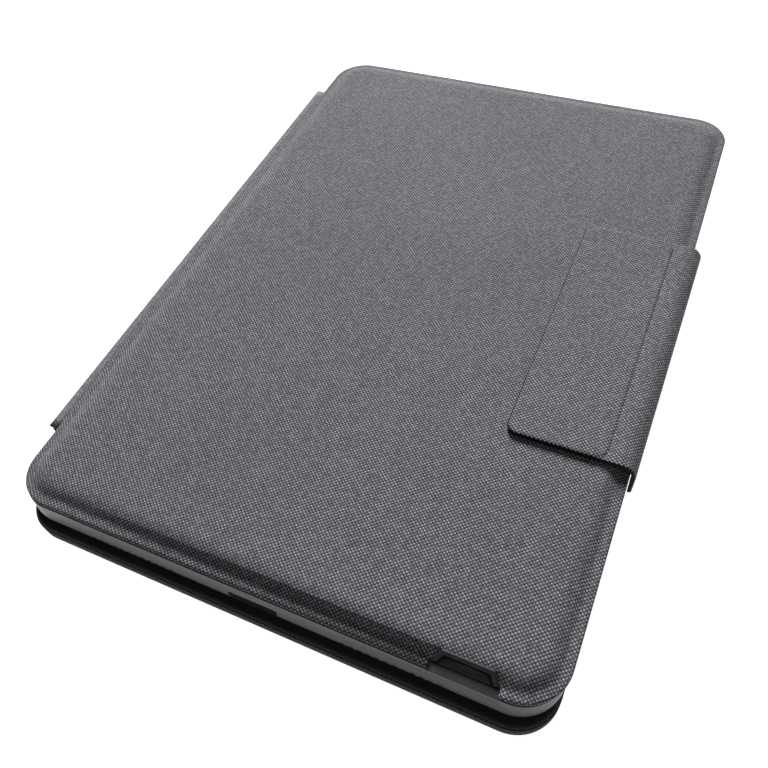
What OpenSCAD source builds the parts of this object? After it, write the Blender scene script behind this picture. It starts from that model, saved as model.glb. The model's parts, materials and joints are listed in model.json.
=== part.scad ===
// Folio keyboard case for a tablet, lying closed. The lower half is a flat keyboard, the upper half
// is a fabric-wrapped cover with a moulded tray that holds the tablet screen down, and a fabric
// spine joins them along the left long edge. A magnetic flap closes the right long edge.
// Origin: on the table, under the middle of the case. +Y runs along the long side, +Z is up.

/* [Tablet] */
// Width of the tablet that the tray holds
tablet_w = 174.1; // [172:0.1:176]
// Length of the tablet
tablet_l = 250.6; // [248:0.1:252]
// Thickness of the tablet
tablet_t = 7.5; // [6.8:0.1:7.5]

/* [Cover] */
// Width of the cover over its fabric rim
cover_w = 183; // [182:0.5:188]
// Length of the cover over its fabric rim
cover_l = 260; // [259:0.5:264]
// Corner radius of the cover's outline
cover_r = 14; // [10:0.5:16]
// Width of the flat rim around the raised face
rim_w = 1.8; // [1.4:0.1:2.4]
// Thickness of the rim
rim_t = 1.1; // [0.8:0.1:1.4]
// Distance from the outline to the raised face
bevel_in = 5.6; // [5:0.1:6.5]
// Height of the raised face above the underside of the rim
face_rise = 3.5; // [3.2:0.1:4]
// Thickness of the woven fabric
fabric_t = 0.6; // [0.4:0.05:0.8]

/* [Tray] */
// Step from the fabric outline in to the tray's wall
tray_in = 0.8; // [0.6:0.1:1.2]
// Thickness of the tray's back plate
tray_back = 1.0; // [0.8:0.1:1.4]
// Height of the lip that keeps the tablet in
lip_t = 0.8; // [0.6:0.1:1]
// How far the lip reaches in over the tablet
lip_in = 1.2; // [0.8:0.1:1.6]
// Gap between the closed halves
close_gap = 0.5; // [0.4:0.1:0.8]

/* [Keyboard base] */
// Length of the base
base_l = 268; // [264:0.5:272]
// Height of the base above its feet
base_h = 7.2; // [7:0.1:7.4]
// Height of the rubber feet that shows
foot_h = 0.8; // [0.6:0.1:1.2]
// How far the base stands back from the cover along both long edges
base_in = 0.6; // [0.4:0.1:1.2]
// Corner radius of the base
base_r = 13.5; // [11:0.5:14]

/* [Keys] */
// Distance between key centres along a row
key_pitch = 16; // [15.5:0.1:16.4]
// Gap between neighbouring keycaps
key_gap = 2.2; // [2:0.1:2.6]
// Travel of a key
key_travel = 1.1; // [0.9:0.1:1.1]
// Depth of the function row, as a share of a full key
function_depth = 0.75; // [0.6:0.05:1]
// Width of the touchpad along the case
pad_l = 92; // [80:1:104]
// Depth of the touchpad
pad_w = 46; // [40:1:48]

/* [Spine and flap] */
// Length of the spine's fabric
spine_l = 208; // [196:1:212]
// How far the spine stands out past the cover
spine_out = 4.8; // [4.6:0.1:5.2]
// Length of the closure flap along the edge
flap_l = 100; // [80:1:110]
// How far the flap's middle lies from the cover's middle
flap_y = -4; // [-10:1:10]
// Reach of the flap over the cover's face, from the rim
flap_reach = 40; // [30:1:48]
// Thickness of the flap
flap_t = 1.9; // [1.8:0.1:2.2]
// Height of the flap's lower edge above the table
flap_low = 7; // [4:0.5:8]

/* [Power button] */
// Distance of the button's middle from the cover's middle
button_x = 65.25; // [55:0.25:68]
// Width of the button's surround at the rim
surround_w = 19.8; // [18:0.2:22]
// Travel of the button cover
button_travel = 0.8; // [0.6:0.1:0.8]

/* [Hidden] */
$fn = 64;
tiny = 0.02;
slip = 0.05;                                 // clearance between layers that are glued together
play = 0.3;                                  // clearance around a part that moves

// Heights
base_top = foot_h + base_h;
tray_z = base_top + close_gap;
bay_z = tray_z + lip_t;
bay_top = bay_z + tablet_t + 0.2;
rim_z = bay_top + tray_back;
face_z = rim_z + face_rise;

// Plan positions: the closed case is centred on the origin over its spine and flap
flap_out = flap_t + 0.6;
cover_x = (spine_out - flap_out) / 2;
left_x = cover_x - cover_w / 2;
right_x = cover_x + cover_w / 2;
base_w = cover_w - 2 * base_in;
rear_x = cover_x - base_w / 2;

// Tray bay
bay_w = tablet_w + 0.8;
bay_l = tablet_l + 0.8;
bay_r = 8;

// Base layers
frame_in = 0.3;
frame_w = 5;
deck_t = 1.2;
deck_z = base_top - 0.4 - deck_t;
band_z = foot_h + 2;
board_z = foot_h + fabric_t + slip;
floor_z = board_z + 1.15;
support_z = foot_h + 3.5;
support_t = 0.3;
membrane_t = 0.3;
membrane_z = support_z + support_t + slip;
dome_z = membrane_z + membrane_t + slip;
cap_z = membrane_z + membrane_t + key_travel + play;
cap_t = 2;

// Key rows: widths in key units from the left end, each row adding up to 15
ROW_FUNCTION = [for (i = [0:14]) 1];
ROW_NUMBER = [for (i = [0:13]) i < 13 ? 1 : 2];
ROW_UPPER = [for (i = [0:13]) i == 0 || i == 13 ? 1.5 : 1];
ROW_HOME = [for (i = [0:12]) i == 0 ? 1.75 : i == 12 ? 2.25 : 1];
ROW_LOWER = [for (i = [0:11]) i == 0 ? 2.25 : i == 11 ? 2.75 : 1];
ROW_BOTTOM = [1, 1, 1, 1.25, 5.5, 1.25, 1, 1, 1, 1];
ROWS = [ROW_FUNCTION, ROW_NUMBER, ROW_UPPER, ROW_HOME, ROW_LOWER, ROW_BOTTOM];
row_units = 15;
keys_in = 22;                                // from the base's rear edge to the function row
keys_w = key_pitch * (function_depth + 5);
pad_in = keys_in + keys_w + 8;

// Flat cable from the membrane down to the main board
cable_y = 60;
cable_w = 10;

// Power button: a face that leans back from the rim to the raised face
lug_w = 20;
lug_y = 1.9;
lean_z = rim_z + 0.3;
lean_run = bevel_in - lug_y;
lean = atan2(face_z - lean_z, lean_run);
lean_l = norm([lean_run, face_z - lean_z]);
surround_top_w = 14.7;
button_w = 16.6;
button_top_w = 12.2;
button_l = 3.1;
button_t = 1.4;
pocket_d = button_t + button_travel + 0.2;

// Charging port and power switch, on the far short side of the base
port_in = 17;
port_z = 4.8;
port_w = 8.9;
port_h = 3;
port_wall = 0.25;
switch_in = 38;
switch_travel = 2.5;
knob_l = 3;
knob_h = 1.8;

// ---- shared shapes -------------------------------------------------------------------------

// Rectangle with round corners, centred
module round_rect(w, l, r) {
    union() {
        square([w - 2 * r, l], center = true);
        square([w, l - 2 * r], center = true);
        for (sx = [-1, 1], sy = [-1, 1])
            translate([sx * (w / 2 - r), sy * (l / 2 - r)]) circle(r);
    }
}

// Plate that follows the cover's outline, stepped in by inset
module cover_slab(inset, z0, z1) {
    translate([cover_x, 0, z0]) linear_extrude(z1 - z0)
        round_rect(cover_w - 2 * inset, cover_l - 2 * inset, max(cover_r - inset, 2));
}

// Sloping band between two insets of the cover's outline
module cover_taper(in0, z0, in1, z1) {
    hull() {
        cover_slab(in0, z0, z0 + tiny);
        cover_slab(in1, z1 - tiny, z1);
    }
}

// Plate that follows the base's outline, stepped in by inset
module base_slab(inset, z0, z1) {
    translate([cover_x, 0, z0]) linear_extrude(z1 - z0)
        round_rect(base_w - 2 * inset, base_l - 2 * inset, max(base_r - inset, 2));
}

// Box given by its low and high corners
module block(low, high) {
    translate(low) cube(high - low);
}

// Trapezoid with its wide side at y = 0
module trapezoid(w0, w1, l, grow = 0) {
    polygon([[-w0 / 2 - grow, -grow], [w0 / 2 + grow, -grow],
             [w1 / 2 + grow, l + grow], [-w1 / 2 - grow, l + grow]]);
}

// ---- cover ---------------------------------------------------------------------------------

// Opening through the cover's edge for the power button, in plan
module button_notch(z0, z1) {
    translate([cover_x + button_x, -cover_l / 2, z0]) linear_extrude(z1 - z0) union() {
        translate([-lug_w / 2 - slip, -3]) square([lug_w + 2 * slip, 3 + lug_y + 0.3]);
        translate([0, lug_y]) trapezoid(surround_w, surround_top_w, lean_run, 0.15);
    }
}

module cover_fabric() {
    color("#6c6a70") difference() {
        union() {
            cover_slab(0, rim_z, rim_z + rim_t);
            cover_taper(rim_w, rim_z + rim_t - tiny, bevel_in, face_z);
        }
        cover_slab(fabric_t, rim_z - 1, rim_z + rim_t - fabric_t);
        cover_taper(rim_w + fabric_t, rim_z + rim_t - fabric_t - tiny, bevel_in + 0.4,
                    face_z - fabric_t);
        button_notch(rim_z - 1, face_z + 1);
    }
}

module cover_board() {
    board_top = face_z - fabric_t - 0.7;
    share = (board_top - rim_z - rim_t + fabric_t) / (face_z - rim_z - rim_t);
    top_in = rim_w + fabric_t + share * (bevel_in + 0.4 - rim_w - fabric_t) + slip;
    color("#3c3b3d") difference() {
        union() {
            cover_slab(fabric_t + slip, rim_z + slip, rim_z + rim_t - fabric_t - slip);
            cover_taper(rim_w + fabric_t + 3 * slip, rim_z + rim_t - fabric_t - 2 * slip,
                        top_in + 3 * slip, board_top);
        }
        button_notch(rim_z - 1, face_z + 1);
        cover_magnet_places() cylinder(r = 4.1, h = 2);
    }
}

module cover_foam() {
    color("#9a9a92") difference() {
        cover_slab(bevel_in + 1, face_z - fabric_t - 0.7 + slip, face_z - fabric_t - slip);
        button_notch(rim_z - 1, face_z + 1);
    }
}

// Magnets that wake the keyboard and hold the case shut, along the flap's long side
module cover_magnet_places() {
    for (y = [-105, -60, 60, 105])
        translate([right_x - 12, y, rim_z + 0.4]) children();
}

module cover_magnets() {
    color("#b8babd") cover_magnet_places() cylinder(r = 4, h = 1.5);
}

// Tray with its walls all round, before its corners are parted off
module tray_shell() {
    wall_low = 1.6;
    lug_h = rim_z - tray_z - 3;
    hole_z = tray_z + 2.2;
    difference() {
        union() {
            cover_slab(tray_in, tray_z + wall_low, rim_z);
            cover_taper(tray_in + 1.2, tray_z, tray_in, tray_z + wall_low + tiny);
            // raised lug below the power button
            translate([cover_x + button_x, -cover_l / 2, tray_z + 3]) union() {
                block([-lug_w / 2, -0.5, 0], [lug_w / 2, 2, lug_h]);
                block([-lug_w / 2, 0, lug_h - 1], [lug_w / 2, lug_y, lug_h + lean_z - rim_z]);
            }
        }
        translate([cover_x, 0, bay_z]) linear_extrude(bay_top - bay_z)
            round_rect(bay_w, bay_l, bay_r);
        translate([cover_x, 0, tray_z - 1]) linear_extrude(bay_z - tray_z + 2)
            round_rect(bay_w - 2 * lip_in, bay_l - 2 * lip_in, bay_r - lip_in);
        // pocket behind the power button
        translate([cover_x + button_x, -cover_l / 2 + lug_y, rim_z - pocket_d])
            block([-button_w / 2 - 1, 0, 0], [button_w / 2 + 1, 4, 3]);
        // speaker slots in both short walls
        for (side = [-1, 1], group = [-1, 1], i = [0:11])
            translate([cover_x + group * (29.6 + 2.7 * i), side * cover_l / 2, hole_z])
                cube([1.5, 12, 0.8], center = true);
        // microphone and plug slots in the middle of both short walls
        for (side = [-1, 1])
            translate([cover_x, side * cover_l / 2, (bay_z + bay_top) / 2])
                cube([17, 12, 4.4], center = true);
    }
}

// Blocks over the walls' round corners, up to a height
module corner_zones(grow, top) {
    in_x = (cover_w - bay_w) / 2 + bay_r + grow;
    in_y = (cover_l - bay_l) / 2 + bay_r + grow;
    for (sx = [-1, 1], sy = [-1, 1])
        translate([cover_x + sx * cover_w / 2, sy * cover_l / 2, 0])
            cube([2 * in_x, 2 * in_y, 2 * top], center = true);
}

// Back plate of the tray with its four straight walls
module tablet_tray() {
    color("#4d4c4f") difference() {
        tray_shell();
        corner_zones(slip, bay_top);
    }
}

module tray_corners() {
    color("#4d4c4f") intersection() {
        tray_shell();
        corner_zones(0, bay_top - slip);
    }
}

module tray_lining() {
    color("#5a595c") translate([cover_x, 0, bay_top - 0.15]) linear_extrude(0.1)
        round_rect(bay_w - 8, bay_l - 8, bay_r - 4);
}

// Places a shape on the leaning face of the power button
module on_lean() {
    translate([cover_x + button_x, -cover_l / 2 + lug_y, lean_z]) rotate([lean, 0, 0]) children();
}

module button_surround() {
    color("#38373a") intersection() {
        on_lean() difference() {
            translate([0, 0, -1.6]) linear_extrude(1.8)
                trapezoid(surround_w, surround_top_w, lean_l - 0.1);
            translate([0, 0, -4]) linear_extrude(8)
                trapezoid(button_w, button_top_w, button_l + 0.1, play);
        }
        translate([cover_x + button_x, -cover_l / 2 + lug_y, rim_z + tiny]) linear_extrude(10)
            trapezoid(surround_w, surround_top_w, lean_run);
    }
}

module power_button_cover() {
    color("#2b2a2c") on_lean() translate([0, 0.1, -button_t]) linear_extrude(button_t)
        trapezoid(button_w, button_top_w, button_l);
}

// ---- closure flap --------------------------------------------------------------------------

flap_face_x = right_x - flap_reach;
flap_bend_x = right_x - bevel_in - 0.9;

// Flat plate of the flap, on the cover's face, with its round outer corners
module flap_face_plate(inset, z0, z1) {
    r = 2.5;
    w = flap_bend_x - flap_face_x;
    translate([flap_face_x, flap_y, z0]) linear_extrude(z1 - z0) difference() {
        union() {
            translate([inset, -flap_l / 2 + inset + r])
                square([w - inset, flap_l - 2 * inset - 2 * r]);
            translate([inset + r, -flap_l / 2 + inset]) square([w - inset - r, flap_l - 2 * inset]);
            for (side = [-1, 1])
                translate([inset + r, side * (flap_l / 2 - inset - r)]) circle(r);
        }
        if (inset > 0) translate([w - 1, -flap_l]) square([5, 2 * flap_l]);
    }
}

module flap_face_fabric() {
    color("#706e74") difference() {
        flap_face_plate(0, face_z + slip, face_z + flap_t);
        flap_face_plate(2, face_z - 1, face_z + flap_t - fabric_t);
    }
}

module flap_face_board() {
    color("#2c2b2e") flap_face_plate(2 + slip, face_z + slip, face_z + flap_t - fabric_t - slip);
}

// Side panel of the flap, which hangs beside the base
module flap_side_plate(out0, out1, inset) {
    r = 3 - inset / 2;
    z0 = flap_low + inset;
    z1 = rim_z - 1;
    w = flap_l - 2 * inset;
    translate([right_x + out0, flap_y, 0]) rotate([90, 0, 90]) linear_extrude(out1 - out0) union() {
        translate([-w / 2, z0 + r]) square([w, z1 - z0 - r]);
        translate([-w / 2 + r, z0]) square([w - 2 * r, r + 1]);
        for (side = [-1, 1]) translate([side * (w / 2 - r), z0 + r]) circle(r);
    }
}

module flap_side_fabric() {
    color("#706e74") difference() {
        flap_side_plate(0.6 + 1.3, 0.6 + flap_t, 0);
        flap_magnet_places() cylinder(r = 2.6, h = 0.2, center = true);
    }
}

module flap_side_board() {
    color("#2c2b2e") difference() {
        flap_side_plate(0.6 + 0.3 + slip, 0.6 + 1.3 - slip, 1);
        flap_magnet_places() cylinder(r = 2.05, h = 3, center = true);
    }
}

module flap_side_lining() {
    color("#1b1a1c") flap_side_plate(0.6, 0.6 + 0.3, 0);
}

module flap_magnet_places() {
    for (i = [-3:3])
        translate([right_x + 0.6 + 0.8, flap_y + 13 * i, flap_low + 4]) rotate([0, 90, 0])
            children();
}

module flap_magnets() {
    color("#b8babd") flap_magnet_places() cylinder(r = 2, h = 0.8, center = true);
}

// Cloth that carries the flap from the cover's face round to its side
module flap_hinge_cloth() {
    bend_r = 5.2;
    cx = right_x + flap_out - bend_r;
    cz = face_z + flap_t - bend_r;
    x0 = flap_bend_x + slip;
    color("#706e74") translate([0, flap_y + flap_l / 2, 0]) rotate([90, 0, 0])
        linear_extrude(flap_l) polygon(concat(
            [[x0, face_z + slip], [x0, face_z + flap_t], [cx, face_z + flap_t]],
            [for (a = [80:-10:0]) [cx + bend_r * cos(a), cz + bend_r * sin(a)]],
            [[right_x + flap_out, rim_z - 1 + slip], [right_x + 0.6, rim_z - 1 + slip]],
            [for (a = [0:10:80]) [cx + (bend_r - flap_t) * cos(a), cz + (bend_r - flap_t) * sin(a)]],
            [[cx, face_z + slip]]));
}

// ---- spine ---------------------------------------------------------------------------------

spine_z0 = foot_h + 1.8;
spine_z1 = rim_z - 1.4;

// Upright layer of the spine between two distances outside the cover's edge
module spine_layer(out0, out1, short) {
    block([left_x - out1, -spine_l / 2 + short, spine_z0 + short / 4],
          [left_x - out0, spine_l / 2 - short, spine_z1 - short / 4]);
}

module spine_fabric() {
    color("#77757a") spine_layer(spine_out - 0.5, spine_out, 0);
}

module spine_board() {
    color("#2c2b2e") spine_layer(spine_out - 1.15, spine_out - 0.5 - slip, 2);
}

module spine_lining() {
    color("#1b1a1c") spine_layer(spine_out - 1.45, spine_out - 1.15 - slip, 0);
}

// Cloth from the top of the spine in under the cover's rim. The cover turns on it about the line
// that lies 3 out from the cover's left edge and 0.8 below the rim.
module upper_hinge_cloth() {
    color("#77757a") translate([0, spine_l / 2, 0]) rotate([90, 0, 0]) linear_extrude(spine_l)
        polygon([[left_x - spine_out, spine_z1 + slip], [left_x - spine_out, rim_z - 0.7],
                 [left_x - spine_out + 0.6, rim_z - 0.1], [left_x + tray_in - slip, rim_z - 0.1],
                 [left_x + tray_in - slip, rim_z - 0.6], [left_x - spine_out + 1.0, rim_z - 0.6],
                 [left_x - spine_out + 0.5, rim_z - 1], [left_x - spine_out + 0.5, spine_z1 + slip]]);
}

// Cloth from under the base up to the foot of the spine. The spine turns on it about the line that
// lies 0.5 in from the spine's outer face and 1.9 above the base's underside.
module lower_hinge_cloth() {
    z0 = foot_h + 0.1;
    color("#77757a") translate([0, spine_l / 2, 0]) rotate([90, 0, 0]) linear_extrude(spine_l)
        polygon([[rear_x - slip, z0], [left_x - spine_out + 0.5, z0],
                 [left_x - spine_out, z0 + 0.5], [left_x - spine_out, spine_z0 - slip],
                 [left_x - spine_out + 0.5, spine_z0 - slip],
                 [left_x - spine_out + 0.5, z0 + 0.7], [left_x - spine_out + 0.7, z0 + 0.5],
                 [rear_x - slip, z0 + 0.5]]);
}

// ---- keyboard base -------------------------------------------------------------------------

module base_fabric() {
    color("#4a484c") difference() {
        base_slab(0, foot_h, band_z);
        base_slab(fabric_t, foot_h + fabric_t, band_z + 1);
        foot_places() cylinder(r = 4.1, h = 4, center = true);
    }
}

module foot_places() {
    for (sx = [-1, 1], sy = [-1, 1])
        translate([cover_x + sx * (base_w / 2 - 16), sy * (base_l / 2 - 16), 0]) children();
}

module rubber_feet() {
    color("#222123") foot_places() union() {
        cylinder(r1 = 3.6, r2 = 4, h = 0.4);
        translate([0, 0, 0.4]) cylinder(r = 4, h = board_z - 0.4 - slip);
    }
}

module screw_places() {
    for (x = [rear_x + 9.5, rear_x + base_w / 2 + 27, rear_x + base_w - 9.5], sy = [-1, 1])
        translate([x, sy * (base_l / 2 - 10.5), 0]) children();
}

module base_board() {
    color("#232225") difference() {
        union() {
            base_slab(fabric_t + slip, board_z, floor_z);
            screw_places() cylinder(r = 2.2, h = deck_z - slip);
        }
        base_slab(-1, -1, board_z);
        screw_places() cylinder(r = 0.95, h = 20);
        screw_places() cylinder(r = 1.7, h = board_z + 0.6);
    }
}

module deck_screws() {
    color("#8d8f92") screw_places() union() {
        translate([0, 0, board_z]) cylinder(r = 1.6, h = 0.55);
        translate([0, 0, board_z + 0.5]) cylinder(r = 0.9, h = deck_z + deck_t - board_z - 0.9);
    }
}

module base_frame() {
    ring_top = base_top - 0.1;
    color("#19181b") difference() {
        union() {
            base_slab(frame_in, band_z + slip, ring_top - 0.8);
            hull() {
                base_slab(frame_in, ring_top - 0.8 - tiny, ring_top - 0.8);
                base_slab(frame_in + 0.8, ring_top - tiny, ring_top);
            }
        }
        base_slab(frame_in + frame_w, 0, base_top + 1);
        // rebate that the deck drops into
        base_slab(frame_in + frame_w - 1.5, deck_z - slip, base_top + 1);
        // charging port and power switch, on the far side
        translate([rear_x + port_in, base_l / 2 + 2, port_z])
            cube([port_w + 0.5, 20, port_h + 0.3], center = true);
        translate([rear_x + switch_in, base_l / 2 - 8, port_z])
            block([-knob_l / 2 - play, 0, -knob_h / 2 - play],
                  [knob_l / 2 + switch_travel + play, 10, knob_h / 2 + play]);
    }
}

// Keys by place: each child is drawn for one key, with its size in $key_w and $key_d
function row_start(row) = row == 0 ? 0 : function_depth + row - 1;
function row_depth(row) = row == 0 ? function_depth : 1;
function units_before(row, i) = i == 0 ? 0 : ROWS[row][i - 1] + units_before(row, i - 1);

// One key place. The user faces the spine, so rows start at the near end and run along +Y.
module key_place(row, i, half = 0) {
    $key_w = ROWS[row][i] * key_pitch - key_gap;
    full_d = row_depth(row) * key_pitch - key_gap;
    $key_d = half == 0 ? full_d : (full_d - 0.8) / 2;
    x = rear_x + keys_in + (row_start(row) + row_depth(row) / 2) * key_pitch;
    y = (units_before(row, i) + ROWS[row][i] / 2 - row_units / 2) * key_pitch;
    translate([x + half * (full_d - $key_d) / 2, y, 0]) children();
}

module keycap() {
    skirt = 1;
    union() {
        translate([-$key_d / 2, -$key_w / 2, cap_z]) cube([$key_d, $key_w, skirt]);
        translate([-$key_d / 2 + 0.3, -$key_w / 2 + 0.3, cap_z + skirt])
            cube([$key_d - 0.6, $key_w - 0.6, cap_t - skirt]);
    }
}

module key(row, i, half = 0) {
    color("#242326") key_place(row, i, half) keycap();
}

module key_run(row, first, last) {
    for (i = [first:last]) key(row, i);
}

module every_key_place() {
    for (row = [0:5], i = [0:len(ROWS[row]) - 1]) key_place(row, i) children();
}

module touchpad_place() {
    translate([rear_x + pad_in + pad_w / 2, 0, 0]) children();
}

module keyboard_deck() {
    color("#1d1c1f") difference() {
        base_slab(frame_in + frame_w - 1.4, deck_z, deck_z + deck_t);
        every_key_place() translate([-$key_d / 2 - play, -$key_w / 2 - play, deck_z - 1])
            cube([$key_d + 2 * play, $key_w + 2 * play, 4]);
        touchpad_place() translate([0, 0, deck_z - 1]) linear_extrude(4)
            round_rect(pad_w + 2 * play, pad_l + 2 * play, 2.5 + play);
        light_places() cylinder(r = 0.8, h = 20);
        screw_places() cylinder(r = 0.95, h = deck_z + deck_t - 0.3);
    }
}

module light_places() {
    for (i = [0:2]) translate([rear_x + 12, 96 + 6 * i, 0]) children();
}

module status_lights() {
    color("#d8e2e0") light_places() translate([0, 0, deck_z - 0.5]) cylinder(r = 0.75, h = deck_t + 0.5);
}

// Outline under the keys, grown by a margin
module under_keys(margin, z, t) {
    w = keys_w + 2 * margin;
    l = row_units * key_pitch + 2 * margin;
    translate([rear_x + keys_in - margin, -l / 2, z]) cube([w, l, t]);
}

module key_support_plate() {
    color("#a9abae") difference() {
        under_keys(2, support_z, support_t);
        cable_window();
    }
}

// Window in the support plate that lets the flat cable down to the main board
module cable_window() {
    translate([rear_x + keys_in - 1, cable_y - 2, 0]) cube([1.6, cable_w + 4, 20]);
}

module membrane_circuit() {
    color("#c9d0c4") difference() {
        under_keys(1.2, membrane_z, membrane_t);
        cable_window();
    }
}

module rubber_domes() {
    color("#e4e2da") every_key_place() translate([0, 0, dome_z])
        cylinder(r1 = 2.4, r2 = 1.2, h = cap_z - dome_z - slip);
}

module scissor_links() {
    reach = 4.2;
    color("#f0efec") every_key_place() for (side = [-1, 1])
        translate([0, side * reach, dome_z + 0.1])
            translate([-3, -0.5, 0]) cube([6, 1, cap_z - dome_z - 0.25]);
}

module main_board() {
    color("#1f4a33") translate([rear_x + 12.4, 44, floor_z + 0.2]) union() {
        cube([9, 82, 0.8]);
        translate([2, 7, 0.8 - tiny]) cube([6, 6, 0.6]);
        translate([1, 30, 0.8 - tiny]) cube([7, 5, 0.6]);
    }
}

module ribbon_cable() {
    x0 = rear_x + keys_in;
    z0 = floor_z + 1 + tiny;
    color("#c47f2a") translate([0, cable_y + cable_w, 0]) rotate([90, 0, 0])
        linear_extrude(cable_w)
            polygon([[x0 - 5, z0], [x0 - 0.2, z0], [x0 - 0.2, membrane_z], [x0 - 0.4, membrane_z],
                     [x0 - 0.4, z0 + 0.2], [x0 - 5, z0 + 0.2]]);
}

module battery_cells() {
    color("#5d6f8a") for (side = [-1, 1])
        translate([rear_x + pad_in, side * 85 - 32, floor_z + 0.15]) cube([44, 64, 3]);
}

module charging_port() {
    l = 7;
    color("#a9abae") translate([rear_x + port_in, base_l / 2 - 0.6, port_z]) rotate([90, 0, 0])
        union() {
            linear_extrude(l) difference() {
                port_shape(port_w, port_h);
                port_shape(port_w - 2 * port_wall, port_h - 2 * port_wall);
            }
            translate([0, 0, l - 1]) linear_extrude(1)
                port_shape(port_w - port_wall, port_h - port_wall);
            translate([-3.3, -0.35, 1.5]) cube([6.6, 0.7, l - 1.6]);
        }
}

module port_shape(w, h) {
    union() {
        square([w - h, h], center = true);
        for (side = [-1, 1]) translate([side * (w - h) / 2, 0]) circle(h / 2);
    }
}

module power_switch_knob() {
    color("#3a393c") translate([rear_x + switch_in, base_l / 2 - frame_in, port_z]) union() {
        block([-knob_l / 2, -3, -knob_h / 2], [knob_l / 2, 0.2, knob_h / 2]);
        for (i = [-1:1]) translate([i * 0.8, 0.15, 0]) cube([0.35, 0.3, 1.6], center = true);
    }
}

module deck_magnets() {
    color("#b8babd") for (y = [-105, -70, -35, 0, 35])
        translate([rear_x + 9, y - 10, deck_z - 2.1]) cube([8, 20, 2]);
}

module touchpad() {
    color("#2a292c") touchpad_place() translate([0, 0, deck_z + 0.3])
        linear_extrude(deck_t - 0.4) round_rect(pad_w, pad_l, 2.5);
}

module touchpad_switch() {
    color("#8d8f92") touchpad_place() translate([pad_w / 2 - 9, 0, floor_z + 0.1]) union() {
        translate([-4, -4, 0]) cube([8, 8, 1.4]);
        translate([0, 0, 1.4 - tiny]) cylinder(r = 1.5, h = deck_z - 0.4 - floor_z - 1.5);
    }
}

// ---- keys that move on their own or together -------------------------------------------------

module escape_key() { key(0, 0); }
module function_keys() { key_run(0, 1, 14); }
module number_keys() { key_run(1, 0, 12); }
module backspace_key() { key(1, 13); }
module tab_key() { key(2, 0); }
module upper_letter_keys() { key_run(2, 1, 12); }
module backslash_key() { key(2, 13); }
module caps_lock_key() { key(3, 0); }
module home_letter_keys() { key_run(3, 1, 11); }
module return_key() { key(3, 12); }
module left_shift_key() { key(4, 0); }
module lower_letter_keys() { key_run(4, 1, 10); }
module right_shift_key() { key(4, 11); }
module modifier_keys() { union() { key_run(5, 0, 3); key_run(5, 5, 6); } }
module space_bar() { key(5, 4); }
module left_arrow_key() { key(5, 7); }
module up_arrow_key() { key(5, 8, -1); }
module down_arrow_key() { key(5, 8, 1); }
module right_arrow_key() { key(5, 9); }

cover_fabric();
cover_board();
cover_foam();
cover_magnets();
tablet_tray();
tray_corners();
tray_lining();
button_surround();
power_button_cover();
flap_face_fabric();
flap_face_board();
flap_hinge_cloth();
flap_side_fabric();
flap_side_board();
flap_side_lining();
flap_magnets();
spine_fabric();
spine_board();
spine_lining();
upper_hinge_cloth();
lower_hinge_cloth();
base_fabric();
base_board();
base_frame();
keyboard_deck();
key_support_plate();
membrane_circuit();
rubber_domes();
scissor_links();
main_board();
ribbon_cable();
battery_cells();
charging_port();
power_switch_knob();
status_lights();
deck_magnets();
deck_screws();
rubber_feet();
touchpad();
touchpad_switch();
escape_key();
function_keys();
number_keys();
backspace_key();
tab_key();
upper_letter_keys();
backslash_key();
caps_lock_key();
home_letter_keys();
return_key();
left_shift_key();
lower_letter_keys();
right_shift_key();
modifier_keys();
space_bar();
left_arrow_key();
up_arrow_key();
down_arrow_key();
right_arrow_key();
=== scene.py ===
import json
import math

import bmesh
import bpy
from mathutils import Matrix, Vector


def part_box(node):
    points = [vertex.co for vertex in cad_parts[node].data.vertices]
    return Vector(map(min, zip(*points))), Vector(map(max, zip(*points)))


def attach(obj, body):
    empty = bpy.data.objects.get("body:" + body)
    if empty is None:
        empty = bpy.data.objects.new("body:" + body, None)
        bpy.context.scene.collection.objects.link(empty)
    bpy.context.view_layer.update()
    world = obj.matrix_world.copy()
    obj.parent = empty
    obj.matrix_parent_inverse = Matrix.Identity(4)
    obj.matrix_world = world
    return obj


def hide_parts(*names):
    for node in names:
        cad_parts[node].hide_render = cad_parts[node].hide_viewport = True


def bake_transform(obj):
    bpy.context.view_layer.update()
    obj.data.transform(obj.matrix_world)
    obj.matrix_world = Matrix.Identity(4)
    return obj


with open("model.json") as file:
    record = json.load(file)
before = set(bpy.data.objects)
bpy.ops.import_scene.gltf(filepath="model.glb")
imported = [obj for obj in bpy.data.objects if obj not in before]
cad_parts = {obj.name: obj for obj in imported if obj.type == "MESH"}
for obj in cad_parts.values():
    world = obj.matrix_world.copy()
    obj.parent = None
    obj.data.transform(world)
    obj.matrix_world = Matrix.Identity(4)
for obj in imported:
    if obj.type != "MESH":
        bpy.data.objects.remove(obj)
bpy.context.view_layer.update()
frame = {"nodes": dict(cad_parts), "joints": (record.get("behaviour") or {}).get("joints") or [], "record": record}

MM = 0.001

# ---- sizes, in metres ----
# Places come from the frame's boxes. These are the sizes that a box can't tell.

COVER_R = 14 * MM          # corner radius of the cover's outline
BASE_R = 13.5 * MM         # corner radius of the base's outline
FABRIC_T = 0.5 * MM        # thickness of the cover's cloth
THREAD_X = 0.704 * MM      # distance between threads that run along y
THREAD_Y = 0.62 * MM       # distance between threads that run along x
CORNER_STEPS = 14          # mesh steps round one corner
WELD = 1e-6                # points closer than this are one point
FLAT = math.radians(0.5)   # faces that meet at less than this are one face

cover_low, cover_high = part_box("cover_fabric")
base_low, base_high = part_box("base_fabric")
tray_low, tray_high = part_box("tablet_tray")
cover_x = (cover_low.x + cover_high.x) / 2
rim_z = cover_low.z
face_z = cover_high.z


# ---- mesh helpers ----

def joint_named(name):
    return next(joint for joint in frame["joints"] if joint["name"] == name)


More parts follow.
